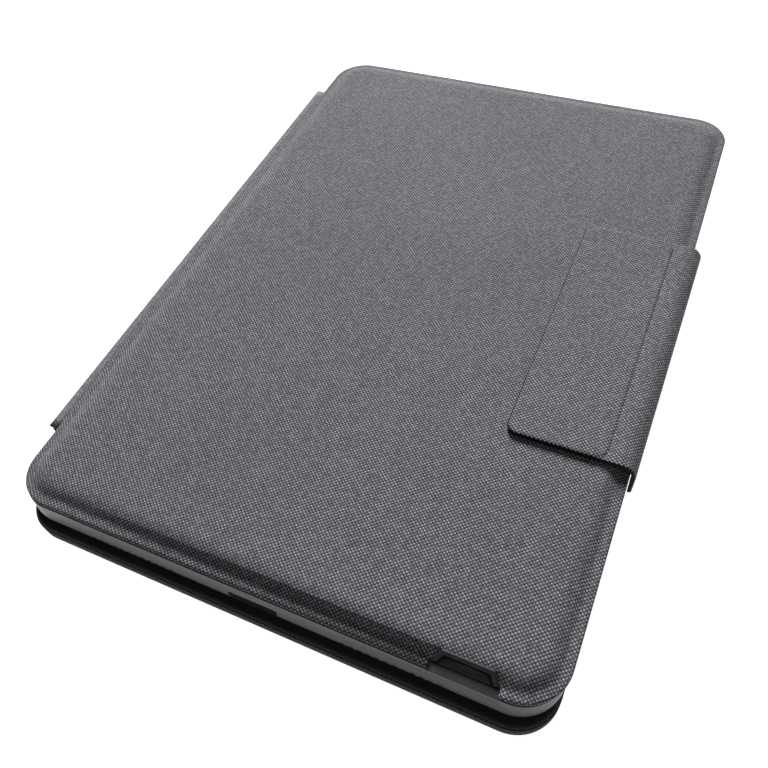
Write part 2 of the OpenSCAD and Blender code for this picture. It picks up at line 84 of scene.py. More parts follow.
def smoothstep(low, high, value):
    """0 up to low, 1 from high on, and a smooth rise between them."""
    t = min(max((value - low) / (high - low), 0.0), 1.0)
    return t * t * (3 - 2 * t)


def arc(centre, radius, start, end, steps):
    """Points of an arc in x and z between two angles in degrees."""
    points = []
    for k in range(steps + 1):
        a = math.radians(start + (end - start) * k / steps)
        points.append((centre[0] + radius * math.cos(a), centre[1] + radius * math.sin(a)))
    return points


def ring(centre_x, half_w, half_l, radius, z, steps=CORNER_STEPS, centre_y=0.0):
    """Points of a rounded rectangle at height z, anticlockwise from above."""
    points = []
    signs = ((1, 1), (-1, 1), (-1, -1), (1, -1))
    for corner, (sx, sy) in enumerate(signs):
        for k in range(steps + 1):
            a = math.radians(90 * (corner + k / steps))
            x = centre_x + sx * (half_w - radius) + radius * math.cos(a)
            y = centre_y + sy * (half_l - radius) + radius * math.sin(a)
            points.append(Vector((x, y, z)))
    return points


def outline_ring(low, high, radius, inset, z, least=1.5 * MM):
    """The rounded outline of a box seen from above, stepped in by inset, at height z.

    The corner radius shrinks with the inset, down to least."""
    middle = (low + high) / 2
    half = (high - low) / 2
    return ring(middle.x, half.x - inset, half.y - inset, max(radius - inset, least), z,
                centre_y=middle.y)


def new_object(name, mesh):
    """An object in the scene that holds this mesh, camera or light."""
    piece = bpy.data.objects.new(name, mesh)
    bpy.context.scene.collection.objects.link(piece)
    return piece


def mesh_piece(name, points, faces, uvs=None, sharp=35):
    """An object from points and faces. uvs gives each point's place on the cloth, in metres.

    Faces that meet at more than sharp, in degrees, keep a crisp edge between them."""
    mesh = bpy.data.meshes.new(name)
    mesh.from_pydata([tuple(p) for p in points], [], faces)
    if uvs:
        layer = mesh.uv_layers.new(name="cloth")
        for loop in mesh.loops:
            layer.data[loop.index].uv = uvs[loop.vertex_index]
    mesh.shade_smooth()
    mesh.set_sharp_from_angle(angle=math.radians(sharp))
    mesh.validate()
    return new_object(name, mesh)


def loft(name, rings, uvs=None, closed=False, first_cap=False, last_cap=False, sharp=35):
    """A skin through rings that have equal numbers of points."""
    n = len(rings[0])
    points = [p for one in rings for p in one]
    flat_uvs = [p for one in uvs for p in one] if uvs else None
    faces = []
    count = len(rings)
    for i in range(count if closed else count - 1):
        a = i * n
        b = ((i + 1) % count) * n
        for k in range(n):
            j = (k + 1) % n
            faces.append((a + k, a + j, b + j, b + k))
    if first_cap:
        faces.append(tuple(reversed(range(n))))
    if last_cap:
        faces.append(tuple(range((count - 1) * n, count * n)))
    piece = mesh_piece(name, points, faces, flat_uvs, sharp)
    outward(piece)
    return piece


def outward(piece):
    """Turns every face of a closed or nearly closed mesh outward."""
    mesh = bmesh.new()
    mesh.from_mesh(piece.data)
    bmesh.ops.recalc_face_normals(mesh, faces=mesh.faces)
    mesh.to_mesh(piece.data)
    mesh.free()


def apply_modifiers(piece):
    """Replaces the piece's mesh with what its modifiers make of it."""
    bpy.context.view_layer.update()
    graph = bpy.context.evaluated_depsgraph_get()
    mesh = bpy.data.meshes.new_from_object(piece.evaluated_get(graph), depsgraph=graph)
    piece.modifiers.clear()
    piece.data = mesh
    return piece


def thicken(piece, thickness):
    """Gives an open skin its thickness, inward from the faces it has."""
    solid = piece.modifiers.new("thickness", "SOLIDIFY")
    solid.thickness = thickness
    solid.offset = -1
    solid.use_even_offset = True
    solid.use_quality_normals = True
    return apply_modifiers(piece)


def combine(piece, tool, operation):
    """Cuts the tool out of the piece, or joins it on, and removes the tool."""
    cut = piece.modifiers.new("combine", "BOOLEAN")
    cut.object = tool
    cut.operation = operation
    cut.solver = "EXACT"
    apply_modifiers(piece)
    bpy.data.objects.remove(tool)
    return piece


def prism(name, outline, low, high, place=Matrix.Identity(4)):
    """A flat outline in x and y drawn out from low to high, then set in its place."""
    n = len(outline)
    points = [place @ Vector((x, y, z)) for z in (low, high) for x, y in outline]
    faces = [(k, (k + 1) % n, n + (k + 1) % n, n + k) for k in range(n)]
    faces.append(tuple(reversed(range(n))))
    faces.append(tuple(range(n, 2 * n)))
    piece = mesh_piece(name, points, faces)
    outward(piece)
    return piece


def join(name, pieces):
    """One object from several that aren't needed on their own."""
    mesh = bmesh.new()
    for piece in pieces:
        mesh.from_mesh(piece.data)
        bpy.data.objects.remove(piece)
    joined = bpy.data.meshes.new(name)
    mesh.to_mesh(joined)
    mesh.free()
    return new_object(name, joined)


def shade(piece, sharp):
    """Smooth shading that breaks where faces meet at more than sharp, in degrees."""
    piece.data.shade_smooth()
    piece.data.set_sharp_from_angle(angle=math.radians(sharp))


def round_edges(piece, width, segments, sharp=40, least_angle=30):
    """Rounds every edge whose faces meet at more than least_angle, in degrees."""
    mesh = bmesh.new()
    mesh.from_mesh(piece.data)
    bmesh.ops.remove_doubles(mesh, verts=mesh.verts, dist=WELD)
    bmesh.ops.dissolve_limit(mesh, angle_limit=FLAT, verts=mesh.verts, edges=mesh.edges)
    mesh.to_mesh(piece.data)
    mesh.free()
    bevel = piece.modifiers.new("edges", "BEVEL")
    bevel.width = width
    bevel.segments = segments
    bevel.limit_method = "ANGLE"
    bevel.angle_limit = math.radians(least_angle)
    bevel.harden_normals = False
    apply_modifiers(piece)
    shade(piece, sharp)


def softened(node, width, name=None):
    """A copy of a CAD node with its sharp edges rounded, which stands for the node."""
    piece = new_object(name or node + "_moulding", frame["nodes"][node].data.copy())
    piece.data.materials.clear()
    round_edges(piece, width, segments=2, sharp=15)
    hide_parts(node)
    return piece


def solids(node):
    """The low and high corner of each separate solid in a CAD node, row by row."""
    mesh = bmesh.new()
    mesh.from_mesh(frame["nodes"][node].data)
    bmesh.ops.remove_doubles(mesh, verts=mesh.verts, dist=WELD)
    left = set(mesh.verts)
    boxes = []
    while left:
        found = [left.pop()]
        for vert in found:
            for edge in vert.link_edges:
                other = edge.other_vert(vert)
                if other in left:
                    left.remove(other)
                    found.append(other)
        low = Vector(min(v.co[i] for v in found) for i in range(3))
        high = Vector(max(v.co[i] for v in found) for i in range(3))
        boxes.append((low, high))
    mesh.free()
    return sorted(boxes, key=lambda box: (round(box[0].y, 4), box[0].x))


# ---- materials ----

class Graph:
    """A material's nodes, added with short calls."""

    def __init__(self, name):
        self.material = bpy.data.materials.new(name)
        self.material.use_nodes = True
        self.nodes = self.material.node_tree.nodes
        self.links = self.material.node_tree.links
        self.nodes.clear()

    def put(self, socket, value):
        """Links an output to a socket, or sets the socket's own value."""
        if isinstance(value, bpy.types.NodeSocket):
            self.links.new(value, socket)
        else:
            socket.default_value = value

    def add(self, kind, inputs=None, **settings):
        node = self.nodes.new("ShaderNode" + kind)
        for key, value in settings.items():
            setattr(node, key, value)
        for key, value in (inputs or {}).items():
            self.put(node.inputs[key], value)
        return node

    def place(self):
        """Where a point lies on its piece, in metres."""
        return self.add("TexCoord").outputs["Object"]

    def math(self, operation, *values):
        node = self.add("Math", operation=operation)
        for socket, value in zip(node.inputs, values):
            self.put(socket, value)
        return node.outputs[0]

    def smooth(self, value, low, high, to_low=0.0, to_high=1.0):
        """A value between low and high, drawn out smoothly to another range."""
        inputs = {"Value": value, "From Min": low, "From Max": high,
                  "To Min": to_low, "To Max": to_high}
        return self.add("MapRange", inputs, interpolation_type="SMOOTHSTEP").outputs[0]

    def mix(self, factor, first, second, blend="MIX"):
        node = self.add("Mix", data_type="RGBA", blend_type=blend)
        self.put(node.inputs[0], factor)
        self.put(node.inputs[6], first)
        self.put(node.inputs[7], second)
        return node.outputs[2]

    def noise(self, place, scale, detail=2.0, roughness=0.5):
        inputs = {"Vector": place, "Scale": scale, "Detail": detail, "Roughness": roughness}
        return self.add("TexNoise", inputs).outputs[0]

    def bump(self, height, distance, strength=1.0):
        inputs = {"Height": height, "Distance": distance, "Strength": strength}
        return self.add("Bump", inputs).outputs[0]

    def mottle(self, noise, dark, light, tint=(1.0, 1.0, 1.0)):
        """Two shades of one colour, in the noise's patches."""
        return self.mix(self.smooth(noise, 0.3, 0.7), grey(dark, tint), grey(light, tint))

    def finish(self, **inputs):
        """The shader, with each input named in the shader's own words."""
        names = {key.replace("_", " "): value for key, value in inputs.items()}
        shader = self.add("BsdfPrincipled", names)
        output = self.add("OutputMaterial")
        self.links.new(shader.outputs[0], output.inputs[0])
        return self.material


def grey(level, tint=(1.0, 1.0, 1.0)):
    """A colour of this level, tinted in red, green and blue."""
    return (level * tint[0], level * tint[1], level * tint[2], 1.0)


SWAY = 0.4                 # how far threads wander from straight lines, in thread widths


def woven(name, light, dark, sheen=0.04, tint=(1.035, 0.98, 1.09), relief=0.1 * MM):
    """Plain weave: light threads cross dark ones, over and under in turn, with painted shade in the dips between
    crossings.
    """
    g = Graph(name)
    cloth = g.add("UVMap", uv_map="cloth").outputs[0]
    wander = g.add("TexNoise", {"Vector": cloth, "Scale": 45.0, "Detail": 2.0}).outputs[1]
    parts = g.add("SeparateXYZ", {"Vector": cloth})
    sway = g.add("SeparateColor", {"Color": wander})
    u, v = (g.math("ADD", g.math("DIVIDE", parts.outputs[i], pitch),
                   g.math("MULTIPLY", g.math("SUBTRACT", sway.outputs[i], 0.5), 2 * SWAY))
            for i, pitch in enumerate((THREAD_X, THREAD_Y)))

    # each crossing is a pillow, and light and dark threads lie on top in turn
    wave_u = g.math("SINE", g.math("MULTIPLY", u, math.pi))
    wave_v = g.math("SINE", g.math("MULTIPLY", v, math.pi))
    crossing = g.math("MULTIPLY", wave_u, wave_v)
    column = g.math("POWER", g.math("ABSOLUTE", wave_u), 0.6)
    row = g.math("POWER", g.math("ABSOLUTE", wave_v), 0.3)
    pillow = g.math("MULTIPLY", column, row)
    over = g.smooth(crossing, -0.6, 0.6)

    # every crossing has its own shade, and every thread varies along its length
    cell = g.add("CombineXYZ", {"X": g.math("FLOOR", u), "Y": g.math("FLOOR", v), "Z": 0.0})
    spot = g.add("TexWhiteNoise", {"Vector": cell.outputs[0]}, noise_dimensions="3D").outputs[0]
    along = g.add("CombineXYZ", {"X": g.math("MULTIPLY", u, 0.16), "Y": g.math("FLOOR", v),
                                 "Z": 0.0})
    slub = g.noise(along.outputs[0], 1.0, 3.0, 0.6)
    cloud = g.noise(g.place(), 22.0, 3.0, 0.55)
    # painted shade: the pillow term darkens the colour towards the dips between crossings, where the threads sink;
    # spot, slub and cloud then vary the tone at random
    shade = g.math("ADD", 0.4, g.math("MULTIPLY", pillow, 0.7))
    for noise, low, high, spread in ((spot, 0.0, 1.0, 0.24), (slub, 0.25, 0.75, 0.2),
                                     (cloud, 0.2, 0.8, 0.06)):
        shade = g.math("MULTIPLY", shade, g.smooth(noise, low, high, 1 - spread, 1 + spread))
    colour = g.mix(over, grey(dark, tint), grey(light, tint))
    level = g.add("CombineColor", {"Red": shade, "Green": shade, "Blue": shade}).outputs[0]
    colour = g.mix(1.0, colour, level, "MULTIPLY")
    fuzz = g.noise(cloth, 5200.0, 2.0)
    height = g.math("ADD", pillow, g.math("MULTIPLY", fuzz, 0.35))
    return g.finish(Base_Color=colour, Roughness=g.smooth(pillow, 0.0, 1.0, 0.95, 0.82),
                    Normal=g.bump(height, relief), Sheen_Weight=sheen, Sheen_Roughness=0.5,
                    Specular_IOR_Level=0.12)


def moulded(name, level, roughness=0.5, grain=0.018 * MM, tint=(1.0, 0.99, 1.02), specular=0.4):
    """Moulded plastic: fine spark-eroded grain, faint flow marks and rubbed high spots."""
    g = Graph(name)
    place = g.place()
    fine = g.noise(place, 4200.0, 2.0)
    flow = g.noise(place, 35.0, 4.0, 0.6)
    rubbed = g.noise(place, 240.0, 3.0, 0.65)
    colour = g.mottle(flow, level * 0.9, level * 1.1, tint)
    rough = g.math("ADD", g.smooth(rubbed, 0.3, 0.7, -0.02, 0.02), roughness)
    return g.finish(Base_Color=colour, Roughness=rough, Specular_IOR_Level=specular,
                    Normal=g.bump(fine, grain, 0.6))


def felted(name, level, tint=(1.0, 1.0, 1.0)):
    """Brushed microfibre lining: short fibres that lie in soft patches."""
    g = Graph(name)
    place = g.place()
    patch = g.noise(place, 90.0, 4.0, 0.6)
    fibre = g.noise(place, 5000.0, 3.0, 0.7)
    colour = g.mottle(patch, level * 0.8, level * 1.2, tint)
    return g.finish(Base_Color=colour, Roughness=0.95, Sheen_Weight=0.12, Sheen_Roughness=0.4,
                    Normal=g.bump(fibre, 0.06 * MM, 0.8), Specular_IOR_Level=0.2)


def metal(name, level, roughness=0.35, tint=(1.0, 1.0, 1.0)):
    """Drawn or plated metal, with fine scratches along one way."""
    g = Graph(name)
    place = g.place()
    stretched = g.add("Mapping", {"Vector": place, "Scale": (1.0, 30.0, 1.0)}).outputs[0]
    lines = g.noise(stretched, 160.0, 4.0, 0.7)
    colour = g.mottle(lines, level * 0.92, level * 1.05, tint)
    rough = g.math("ADD", g.smooth(lines, 0.3, 0.7, -0.08, 0.1), roughness)
    return g.finish(Base_Color=colour, Metallic=1.0, Roughness=rough)


def printed(name, level, tint, mark, pitch):
    """Board or film with a fine printed pattern of lines."""
    g = Graph(name)
    place = g.place()
    parts = g.add("SeparateXYZ", {"Vector": place})
    row = g.math("SINE", g.math("MULTIPLY", parts.outputs[0], 2 * math.pi / pitch))
    column = g.math("SINE", g.math("MULTIPLY", parts.outputs[1], 2 * math.pi / (pitch * 1.7)))
    line = g.math("MAXIMUM", g.smooth(row, 0.9, 0.97), g.smooth(column, 0.93, 0.98))
    cloud = g.noise(place, 60.0, 3.0)
    ground = g.mottle(cloud, level * 0.92, level * 1.08, tint)
    colour = g.mix(g.math("MULTIPLY", line, 0.6), ground, mark)
    return g.finish(Base_Color=colour, Roughness=g.smooth(cloud, 0.3, 0.7, 0.4, 0.55))


def clear_lens(name):
    """Cloudy white light guide."""
    g = Graph(name)
    cloud = g.noise(g.place(), 900.0, 3.0)
    return g.finish(Base_Color=g.mottle(cloud, 0.55, 0.7), Roughness=0.25, Coat_Weight=0.3)


def make_materials():
    """One material for each slot of the record."""
    return {
        "cover_weave": woven("cover_weave", 0.186, 0.034),
        "flap_weave": woven("flap_weave", 0.19, 0.036),
        "spine_weave": woven("spine_weave", 0.18, 0.085, sheen=0.15, relief=0.06 * MM),
        "base_weave": woven("base_weave", 0.045, 0.006, relief=0.12 * MM),
        "lining": felted("lining", 0.006),
        "foam": felted("foam", 0.3),
        "stiff_board": felted("stiff_board", 0.03),
        "tray_plastic": moulded("tray_plastic", 0.056, 0.45, specular=0.3),
        "surround_plastic": moulded("surround_plastic", 0.03, 0.5, specular=0.25),
        "button_plastic": moulded("button_plastic", 0.017, 0.55, specular=0.2),
        "frame_plastic": moulded("frame_plastic", 0.017, 0.7, tint=(1.05, 0.95, 1.12),
                                 specular=0.12),
        "deck_plastic": moulded("deck_plastic", 0.011, 0.6, grain=0.02 * MM, specular=0.25),
        "keycap_plastic": moulded("keycap_plastic", 0.014, 0.5),
        "touchpad_surface": moulded("touchpad_surface", 0.02, 0.5, grain=0.004 * MM, specular=0.25),
        "rubber": moulded("rubber", 0.012, 0.8, specular=0.2),
        "dome_rubber": moulded("dome_rubber", 0.6, 0.6),
        "steel": metal("steel", 0.55),
        "film": printed("film", 0.55, (0.95, 1.0, 0.92), grey(0.3), 4 * MM),
        "circuit_board": printed("circuit_board", 0.1, (0.3, 1.0, 0.55), grey(0.4), 2 * MM),
        "flat_cable": printed("flat_cable", 0.35, (1.0, 0.6, 0.2), grey(0.15), 0.8 * MM),
        "battery_pouch": metal("battery_pouch", 0.4, 0.45, (0.85, 0.95, 1.1)),
        "light_lens": clear_lens("light_lens"),
    }


materials = make_materials()


def dress(piece, slot):
    """Gives a piece the material of this slot of the record, which is named after the slot."""
    piece.data.materials.clear()
    piece.data.materials.append(materials[slot])
    return piece


def dress_cad_nodes():
    """Gives every CAD node the material of its slot."""
    for entry in frame["record"]["subparts"]:
        for place in frame["nodes"][entry["node"]].material_slots:
            place.material = materials[entry["material_slot"]]


# ---- cover ----

# How far in from the outline, and how high over the underside of the rim, in millimetres:
# turned hem, rim, the soft hollow at the foot of the bevel, bevel, shoulder, face
COVER_PROFILE = ((6.0, 0.0), (0.6, 0.0), (0.18, 0.14), (0.0, 0.5), (0.06, 0.88), (0.28, 1.14),
                 (0.8, 1.24), (1.6, 1.27), (2.4, 1.3), (2.9, 1.4), (3.4, 1.6), (4.0, 1.97),
                 (4.6, 2.33), (5.2, 2.64), (5.9, 2.93), (6.7, 3.18), (7.6, 3.37), (8.6, 3.47),
                 (9.6, 3.5))

NOTCH_GAP = 0.15 * MM      # room between the cloth and the button's surround
NOTCH_SLOPE = 2.55 * MM    # how much nearer the middle each side of the notch ends at its top


def path_length(profile):
    """Length of the path through a profile's points."""
    return sum(math.dist(a, b) for a, b in zip(profile, profile[1:]))


def skin_uvs(rings, profile):
    """Lays each ring out flat on the cloth: away from the last ring by the path between them."""
    uvs = []
    for i, one in enumerate(rings):
        length = path_length(profile[i:]) * MM
        row = []
        for point, inner in zip(one, rings[-1]):
            out = Vector((point.x - inner.x, point.y - inner.y))
            if out.length > 0:
                out = out.normalized() * length
            row.append((inner.x + out.x, inner.y + out.y))
        uvs.append(row)
    return uvs


def button_plan():
    """The notch for the power button, as an outline in x and y."""
    low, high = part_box("button_surround")
    middle = (low.x + high.x) / 2
    bottom_half = (high.x - low.x) / 2 + NOTCH_GAP
    top_half = bottom_half - NOTCH_SLOPE
    clear_of_edge = cover_low.y - 3 * MM
    foot = low.y + 2 * NOTCH_GAP
    top = high.y + NOTCH_GAP
    half_outline = ((bottom_half, clear_of_edge), (bottom_half, foot), (top_half, top))
    right = [(middle + x, y) for x, y in half_outline]
    left = [(middle - x, y) for x, y in reversed(half_outline)]
    return right + left


def cover_skin():
    """The woven cloth of the cover, glued over the foam and turned under the rim."""
    rings = [outline_ring(cover_low, cover_high, COVER_R, inset * MM, rim_z + height * MM)
             for inset, height in COVER_PROFILE]
    uvs = skin_uvs(rings, COVER_PROFILE)
    skin = loft("cover_skin", rings, uvs, last_cap=True, sharp=60)
    thicken(skin, FABRIC_T)
    notch = prism("notch", button_plan(), rim_z - 1 * MM, face_z + 2 * MM)
    combine(skin, notch, "DIFFERENCE")
    dress(skin, "cover_weave")
    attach(skin, "cover")
    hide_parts("cover_fabric")


# ---- tray ----

BAY_W = 174.9 * MM         # the bay that holds the tablet: across, along, and its corners
BAY_L = 251.4 * MM
BAY_R = 8 * MM
LIP_T = 0.8 * MM           # thickness of the lip that holds the tablet's screen
LIP_IN = 1.2 * MM          # how far the lip reaches in over the screen
TRAY_BACK = 1.0 * MM       # thickness of the back plate
FOOT_TUCK = 1.4            # how far the long walls draw in at their foot, in millimetres
LIP_BEVEL = 0.2 * MM       # the small bevel along the lip's edge

# How far the short walls stand out past the tray's box, and the height above its lower edge, in
# millimetres: the gap under the cloth's rim, the wall leaning out, and its rounded foot
END_WALL = ((0.0, 9.5), (0.0, 9.3), (0.28, 9.3), (0.42, 9.2), (0.5, 8.9), (0.85, 5.0), (1.15, 2.3),
            (1.15, 1.5), (0.95, 0.8), (0.5, 0.3), (0.0, 0.0))


def bay_ring(inset, z):
    """The outline of the tablet bay, stepped in by inset, at height z."""
    return ring(cover_x, BAY_W / 2 - inset, BAY_L / 2 - inset, BAY_R - inset, z)


def tray_body():
    """Back plate and walls of the tray in one closed skin."""
    half = (tray_high - tray_low) / 2
    radius = COVER_R - (tray_low.x - cover_low.x)
    rings = []
    for out, height in END_WALL:
        tuck = max(FOOT_TUCK - height / FOOT_TUCK, 0.0) * MM
        z = tray_low.z + height * MM
        rings.append(ring(cover_x, half.x - tuck, half.y + out * MM, radius, z))
    rings.append(bay_ring(LIP_IN + 0.05 * MM, tray_low.z))
    rings.append(bay_ring(LIP_IN + LIP_BEVEL, tray_low.z + LIP_BEVEL))
    rings.append(bay_ring(LIP_IN, tray_low.z + LIP_T))
    rings.append(bay_ring(0.0, tray_low.z + LIP_T))
    rings.append(bay_ring(0.0, rim_z - TRAY_BACK))
    return loft("tray_moulding", rings, first_cap=True, last_cap=True, sharp=40)


CUT_L = 12 * MM            # length of every slot's cutter, enough to pass through the wall
SLOT_W = 1.5 * MM          # one speaker slot: width, height, roundness, height over the foot
SLOT_H = 0.8 * MM
SLOT_R = 0.35 * MM
SLOT_UP = 2.2 * MM
SLOT_COUNT = 12            # speaker slots in one row
FIRST_SLOT = 29.6          # from the wall's middle to the first slot, in millimetres
SLOT_PITCH = 2.7           # from one slot to the next, in millimetres
MIDDLE_W = 17 * MM         # the middle slot, in the same order
MIDDLE_H = 3.4 * MM
MIDDLE_R = 1.4 * MM
MIDDLE_UP = 3.3 * MM


def slot_bar(middle, width, height, radius):
    """A cutter along y with a rounded cross-section in x and z."""
    outline = [(p.x, p.y) for p in ring(0.0, width / 2, height / 2, radius, 0.0, steps=4)]
    place = Matrix.Translation(middle) @ Matrix.Rotation(math.pi / 2, 4, "X")
    return prism("slot", outline, -CUT_L / 2, CUT_L / 2, place)


def tray_slots():
    """Speaker slots near the corners and a longer slot in the middle of both short walls."""
    bars = []
    for end in (cover_low.y, cover_high.y):
        for side in (-1, 1):
            for i in range(SLOT_COUNT):
                x = cover_x + side * (FIRST_SLOT + SLOT_PITCH * i) * MM
                middle = Vector((x, end, tray_low.z + SLOT_UP))
                bars.append(slot_bar(middle, SLOT_W, SLOT_H, SLOT_R))
        middle = Vector((cover_x, end, tray_low.z + MIDDLE_UP))
        bars.append(slot_bar(middle, MIDDLE_W, MIDDLE_H, MIDDLE_R))
    return join("slots", bars)


# Sections of the lug under the power button and of the room cut free above it: how far in from
# the rim's edge and how high over its underside, in millimetres
LUG_SECTION = ((2.2, 0.28), (1.9, 0.28), (-0.3, -0.42), (-0.44, -0.7), (-0.46, -1.6),
               (1.0, -5.5), (2.2, -5.5))
LUG_ROOM = ((1.9, 0.3), (1.9, 3.0), (-3.0, 3.0), (-3.0, -1.26))
LUG_SIDE = 0.1 * MM        # how far the lug reaches past the surround's ends
POCKET_SIDE = 1 * MM       # room beside and behind the moving cover
POCKET_DEEP = 2.4 * MM     # depth of that room under the rim


def lug_bar(section):
    """A bar with this section, along the whole width of the button's surround."""
    low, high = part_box("button_surround")
    rings = [[Vector((x, cover_low.y + inset * MM, rim_z + height * MM))
              for inset, height in section] for x in (low.x - LUG_SIDE, high.x + LUG_SIDE)]
    return loft("lug", rings, first_cap=True, last_cap=True)


def tray():
    """The grey tray with its slots, and the lug and pocket for the power button."""
    body = tray_body()
    combine(body, tray_slots(), "DIFFERENCE")
    combine(body, lug_bar(LUG_SECTION), "UNION")
    combine(body, lug_bar(LUG_ROOM), "DIFFERENCE")
    low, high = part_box("power_button_cover")
    left = low.x - POCKET_SIDE
    right = high.x + POCKET_SIDE
    back = high.y + POCKET_SIDE
    pocket = prism("pocket", [(left, low.y), (right, low.y), (right, back), (left, back)],
                   rim_z - POCKET_DEEP, rim_z + 1 * MM)
    combine(body, pocket, "DIFFERENCE")
    shade(body, 35)
    dress(body, "tray_plastic")
    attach(body, "cover")
    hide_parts("tablet_tray", "tray_corners")


# ---- power button ----

# Right halves of outlines on the leaning face, in millimetres: out from the middle, up the face
SURROUND_HALF = ((9.85, 0.75), (7.35, 4.62))
OPENING_HALF = ((9.2, -1.0), (9.2, 0.2), (8.35, 0.75), (8.1, 0.95), (6.45, 3.42))
FLANGE_HALF = ((8.9, 0.1), (8.9, 0.3), (7.95, 0.62), (7.8, 0.9), (6.15, 3.15))
PAD_HALF = ((7.2, 0.35), (7.2, 0.95), (5.75, 2.85))
LEAN_IN = 1.9 * MM         # where the leaning face starts: in from the cover's edge, over the rim
LEAN_UP = 0.3 * MM


def lean_place():
    """The frame of the leaning face: x along the edge, y up the face, z out of it."""
    low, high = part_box("power_button_cover")
    inward = Vector(joint_named("power_button_press")["axis"]).normalized()
    along = Vector((1, 0, 0))
    up = (-inward).cross(along)
    origin = Vector(((low.x + high.x) / 2, cover_low.y + LEAN_IN, rim_z + LEAN_UP))
    turn = Matrix((along, up, -inward)).transposed().to_4x4()
    return Matrix.Translation(origin) @ turn


def mirrored(half_outline):
    """A closed outline from its right half, given from the bottom up."""
    right = [(x * MM, y * MM) for x, y in half_outline]
    left = [(-x * MM, y * MM) for x, y in reversed(half_outline)]
    return right + left


def on_lean(name, half_outline, low, high):
    """A plate on the leaning face, from low to high in millimetres out of it."""
    return prism(name, mirrored(half_outline), low * MM, high * MM, lean_place())


def power_button():
    """The surround's band with its stepped feet, and the darker cover that moves inside it."""
    band = on_lean("button_surround_moulding", SURROUND_HALF, -1.5, 0.2)
    combine(band, on_lean("opening", OPENING_HALF, -3, 3), "DIFFERENCE")
    round_edges(band, 0.1 * MM, segments=3)
    dress(band, "surround_plastic")
    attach(band, "cover")
    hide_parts("button_surround")

    flange = on_lean("power_button_moulding", FLANGE_HALF, -1.4, -0.45)
    combine(flange, on_lean("pad", PAD_HALF, -0.9, 0.0), "UNION")
    round_edges(flange, 0.07 * MM, segments=2)
    dress(flange, "button_plastic")
    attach(flange, "power_button")
    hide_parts("power_button_cover")


# ---- closure flap ----

FLAP_BEND = 5.2 * MM       # outer radius of the bend over the edge
FLAP_T = 1.9 * MM          # thickness of the whole flap
FLAP_CLOTH_T = 0.48 * MM   # thickness of its woven cloth
# the near-black lining left showing past the cloth's edges is partly painted shade: a dark strip along the flap's
# edges where their shadow falls
CLOTH_LEAD = 0.4 * MM      # how far the cloth keeps back from the lining's inner edge
CLOTH_IN = 0.2 * MM        # and from its other edges
FLAP_R = 3.2 * MM          # corner radius of the flap
PLATE_L = 32 * MM          # from the flap's edge on the face to the plate's crease
PLATE_R = 3.6 * MM         # corner radius of the plate
PLATE_RISE = 0.32 * MM     # how far the plate stands out through the cloth
EDGE_R = 0.15 * MM         # roundness of the folded edge
LINING_R = 0.1 * MM        # roundness of the lining's edge
FLAP_SKEW = 0.011          # how far the bend runs askew, for each unit along the edge
THINNEST = 0.04 * MM       # what is left of a cloth where it is pressed most

flap_face_low, flap_face_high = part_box("flap_face_fabric")
flap_side_low, flap_side_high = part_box("flap_side_fabric")
flap_y = (flap_face_low.y + flap_face_high.y) / 2
flap_half = (flap_face_high.y - flap_face_low.y) / 2
bend_x = flap_side_high.x - FLAP_BEND
bend_z = flap_face_high.z - FLAP_BEND
flat_run = bend_x - flap_face_low.x
bend_run = FLAP_BEND * math.pi / 2
flap_run = flat_run + bend_run + bend_z - flap_side_low.z


def on_flap(s, depth, y):
    """Where a point lies in x and z: s along the outer face from its inner edge, depth below it."""
    askew = FLAP_SKEW * (y - 0.2 * flap_half) * smoothstep(0.0, flat_run, s) * (1 - depth / FLAP_T)
    if s <= flat_run:
        return flap_face_low.x + s + askew, flap_face_high.z - depth
    if s <= flat_run + bend_run:
        a = (s - flat_run) / FLAP_BEND
        radius = FLAP_BEND - depth
        return bend_x + askew + radius * math.sin(a), bend_z + radius * math.cos(a)
    return flap_side_high.x + askew - depth, bend_z - (s - flat_run - bend_run)


def plate_distance(s, y, low_s, high_s, half, radius):
    """Distance from a rounded plate's outline, negative inside it."""
    ds = abs(s - (low_s + high_s) / 2) - (high_s - low_s) / 2 + radius
    dy = abs(y) - half + radius
    outside = math.hypot(max(ds, 0.0), max(dy, 0.0))
    return outside + min(max(ds, dy), 0.0) - radius


def flap_relief(s, y):
    """How far the cloth lies below the plate that presses through it."""
    beyond = -20 * MM
    away = plate_distance(s, y, beyond, PLATE_L, flap_half - 0.25 * MM, PLATE_R)
    drop = PLATE_RISE * smoothstep(-0.4 * MM, 0.6 * MM, away)
    crease = 0.11 * MM * math.exp(-((away - 0.5 * MM) / (0.3 * MM)) ** 2)
    sag = 0.12 * MM * smoothstep(0.8 * MM, 4 * MM, away)
    round_the_bend = smoothstep(flat_run + 0.3 * bend_run, flat_run + bend_run, s)
    return (drop + crease - sag) * (1 - round_the_bend)


def stations(length, edge, marks, step):
    """Places along a length: close together at both ends and round each mark."""
    places = {0.0, length}
    for d in edge:
        places.update((d, length - d))
    for mark in marks:
        for k in (-1.0, -0.6, -0.35, -0.15, 0.0, 0.15, 0.3, 0.45, 0.6, 0.8, 1.1, 1.6):
            places.add(mark + k * MM)
    count = int(length / step)
    places.update(length * k / count for k in range(count + 1))
    ordered = sorted(p for p in places if 0 <= p <= length)
    kept = [ordered[0]]
    for p in ordered[1:-1]:
        if p - kept[-1] > 0.05 * MM and length - p > 0.05 * MM:
            kept.append(p)
    return kept + [length]


def rounded_off(radius, inside):
    """How much a corner of this radius cuts away at a distance inside its edge."""
    short = max(radius - inside, 0.0)
    return radius - math.sqrt(max(radius ** 2 - short ** 2, 0.0))


